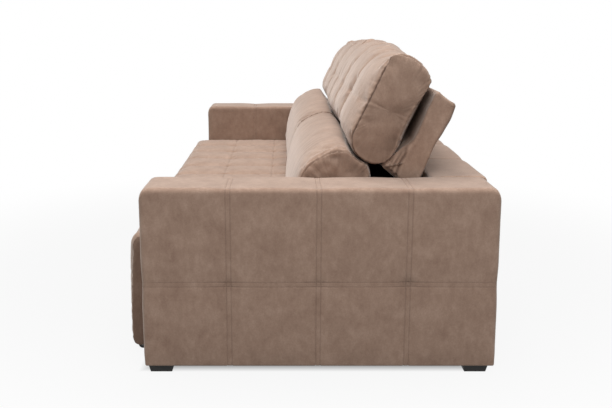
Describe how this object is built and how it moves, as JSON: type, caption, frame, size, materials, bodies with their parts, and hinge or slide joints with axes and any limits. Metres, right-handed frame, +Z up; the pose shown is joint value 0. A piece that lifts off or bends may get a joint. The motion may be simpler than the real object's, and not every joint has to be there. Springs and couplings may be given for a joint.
{
  "type": "reclining sofa",
  "caption": "Wide sofa in taupe suede-like fabric: quilted block arms, tufted seats that slide forward on runners, fixed lumbar rolls and cushioned upper backs that recline.",
  "frame": {"origin": "on the floor, under the middle of the bounding box", "axes": "+X towards the sitter's left arm, -Y the way the sofa faces, +Z up"},
  "size_m": [2.76, 1.172, 0.9955],
  "materials": {
    "suede": "matte",
    "suede_covered_board": "matte",
    "frame_board": "matte",
    "black_lining": "matte",
    "black_plastic": "satin",
    "zinc_steel": "satin"
  },
  "bodies": {
    "base": {"base_front_rail": "frame_board", "base_rear_rail": "frame_board", "rear_panel": "frame_board", "rear_ledge": "black_lining", "rear_cover": "suede", "lower_back_board": "black_lining", "left_arm_cover": "suede", "left_arm_outer_board": "frame_board", "left_arm_inner_board": "frame_board", "left_arm_top_board": "frame_board", "left_arm_front_board": "frame_board", "left_arm_rear_board": "frame_board", "left_front_foot": "black_plastic", "left_rear_foot": "black_plastic", "left_lumbar_cushion": "suede", "left_outer_channel": "zinc_steel", "left_inner_channel": "zinc_steel", "left_outer_hinge_bracket": "zinc_steel", "left_inner_hinge_bracket": "zinc_steel", "right_arm_cover": "suede", "right_arm_outer_board": "frame_board", "right_arm_inner_board": "frame_board", "right_arm_top_board": "frame_board", "right_arm_front_board": "frame_board", "right_arm_rear_board": "frame_board", "right_front_foot": "black_plastic", "right_rear_foot": "black_plastic", "right_lumbar_cushion": "suede", "right_outer_channel": "zinc_steel", "right_inner_channel": "zinc_steel", "right_outer_hinge_bracket": "zinc_steel", "right_inner_hinge_bracket": "zinc_steel"},
    "left_seat": {"left_seat_deck": "frame_board", "left_seat_outer_side": "suede_covered_board", "left_seat_inner_side": "suede_covered_board", "left_seat_pad": "suede", "left_front_pad": "suede", "left_outer_runner": "zinc_steel", "left_inner_runner": "zinc_steel"},
    "left_outer_roller": {"left_outer_roller": "black_plastic"},
    "left_inner_roller": {"left_inner_roller": "black_plastic"},
    "left_back": {"left_back_board": "frame_board", "left_back_cover": "suede", "left_upper_cushion": "suede", "left_outer_hinge_plate": "zinc_steel", "left_inner_hinge_plate": "zinc_steel"},
    "right_seat": {"right_seat_deck": "frame_board", "right_seat_outer_side": "suede_covered_board", "right_seat_inner_side": "suede_covered_board", "right_seat_pad": "suede", "right_front_pad": "suede", "right_outer_runner": "zinc_steel", "right_inner_runner": "zinc_steel"},
    "right_outer_roller": {"right_outer_roller": "black_plastic"},
    "right_inner_roller": {"right_inner_roller": "black_plastic"},
    "right_back": {"right_back_board": "frame_board", "right_back_cover": "suede", "right_upper_cushion": "suede", "right_outer_hinge_plate": "zinc_steel", "right_inner_hinge_plate": "zinc_steel"}
  },
  "joints": [
    {"name": "left_seat_slide", "type": "slide", "parent": "base", "child": "left_seat", "axis": [0, -1, 0], "range_m": [0, 0.45]},
    {"name": "left_outer_roller_spin", "type": "hinge", "parent": "left_seat", "child": "left_outer_roller", "pos_m": [1.14, -0.557, 0.014], "axis": [1, 0, 0], "range_deg": [0, 1841.65]},
    {"name": "left_inner_roller_spin", "type": "hinge", "parent": "left_seat", "child": "left_inner_roller", "pos_m": [0.029, -0.557, 0.014], "axis": [1, 0, 0], "range_deg": [0, 1841.65]},
    {"name": "left_back_recline", "type": "hinge", "parent": "base", "child": "left_back", "pos_m": [0.5725, 0.339, 0.597], "axis": [-1, 0, 0], "range_deg": [0, 30]},
    {"name": "right_seat_slide", "type": "slide", "parent": "base", "child": "right_seat", "axis": [0, -1, 0], "range_m": [0, 0.45]},
    {"name": "right_outer_roller_spin", "type": "hinge", "parent": "right_seat", "child": "right_outer_roller", "pos_m": [-1.14, -0.557, 0.014], "axis": [1, 0, 0], "range_deg": [0, 1841.65]},
    {"name": "right_inner_roller_spin", "type": "hinge", "parent": "right_seat", "child": "right_inner_roller", "pos_m": [-0.029, -0.557, 0.014], "axis": [1, 0, 0], "range_deg": [0, 1841.65]},
    {"name": "right_back_recline", "type": "hinge", "parent": "base", "child": "right_back", "pos_m": [-0.5725, 0.339, 0.597], "axis": [-1, 0, 0], "range_deg": [0, 30]}
  ],
  "couplings": [
    {"joint": "left_outer_roller_spin", "follows": "left_seat_slide", "rad_per_m": 71.429},
    {"joint": "left_inner_roller_spin", "follows": "left_seat_slide", "rad_per_m": 71.429},
    {"joint": "right_outer_roller_spin", "follows": "right_seat_slide", "rad_per_m": 71.429},
    {"joint": "right_inner_roller_spin", "follows": "right_seat_slide", "rad_per_m": 71.429}
  ]
}
